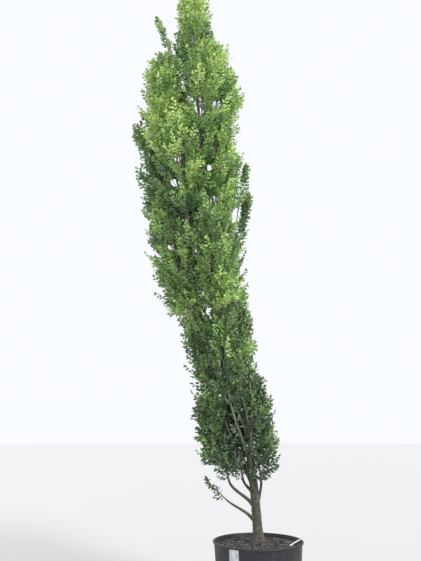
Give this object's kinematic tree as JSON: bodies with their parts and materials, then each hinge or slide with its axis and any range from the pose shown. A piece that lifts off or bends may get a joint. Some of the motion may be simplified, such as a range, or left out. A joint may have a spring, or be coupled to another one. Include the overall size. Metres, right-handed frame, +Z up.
{
  "type": "potted columnar beech tree",
  "caption": "Tall, narrow, leafy beech with steep boughs on one leaning leader, growing in a round black nursery container filled with potting mix.",
  "frame": {"origin": "middle of the pot's flat underside, level with the ground that it stands on", "axes": "+Z up, +X to the viewer's right in the picture, +Y away from the viewer; the tree leans towards -X"},
  "size_m": [1.6984, 1.1103, 7.092],
  "materials": {
    "bark": "smooth grey-green living bark, mottled and rough near the foot",
    "leaf": "soft satin green leaves with thin twigs",
    "container": "dark, slightly dusty moulded plastic",
    "potting_mix": "loose dark composted bark",
    "white_plastic": "thin blank white plastic"
  },
  "bodies": {
    "root": {"pot": "container", "potting_mix": "potting_mix", "blank_label": "white_plastic", "blank_tag": "white_plastic", "trunk": "bark", "lowest_left_bough": "bark", "lowest_back_bough": "bark", "lowest_right_bough": "bark", "lower_left_bough": "bark", "lower_front_bough": "bark", "lower_back_bough": "bark", "middle_front_left_bough": "bark", "middle_front_right_bough": "bark", "middle_back_right_bough": "bark", "middle_back_left_bough": "bark", "upper_left_bough": "bark", "upper_front_bough": "bark", "upper_right_bough": "bark", "upper_back_bough": "bark", "shoulder_front_left_bough": "bark", "shoulder_front_right_bough": "bark", "shoulder_back_right_bough": "bark", "shoulder_back_left_bough": "bark", "spire_front_bough": "bark", "spire_back_bough": "bark", "low_shoot_bough": "bark", "inner_right_shoot_bough": "bark", "right_shoot_bough": "bark", "lower_right_shoot_bough": "bark", "left_shoot_bough": "bark", "top_left_shoot_bough": "bark", "lowest_left_foliage": "leaf", "lowest_back_foliage": "leaf", "lowest_right_foliage": "leaf", "lower_left_foliage": "leaf", "lower_front_foliage": "leaf", "lower_back_foliage": "leaf", "middle_front_left_foliage": "leaf", "middle_front_right_foliage": "leaf", "middle_back_right_foliage": "leaf", "middle_back_left_foliage": "leaf", "upper_left_foliage": "leaf", "upper_front_foliage": "leaf", "upper_right_foliage": "leaf", "upper_back_foliage": "leaf", "shoulder_front_left_foliage": "leaf", "shoulder_front_right_foliage": "leaf", "shoulder_back_right_foliage": "leaf", "shoulder_back_left_foliage": "leaf", "spire_front_foliage": "leaf", "spire_back_foliage": "leaf", "low_shoot_foliage": "leaf", "inner_right_shoot_foliage": "leaf", "right_shoot_foliage": "leaf", "lower_right_shoot_foliage": "leaf", "left_shoot_foliage": "leaf", "top_left_shoot_foliage": "leaf", "top_foliage": "leaf"}
  },
  "joints": []
}
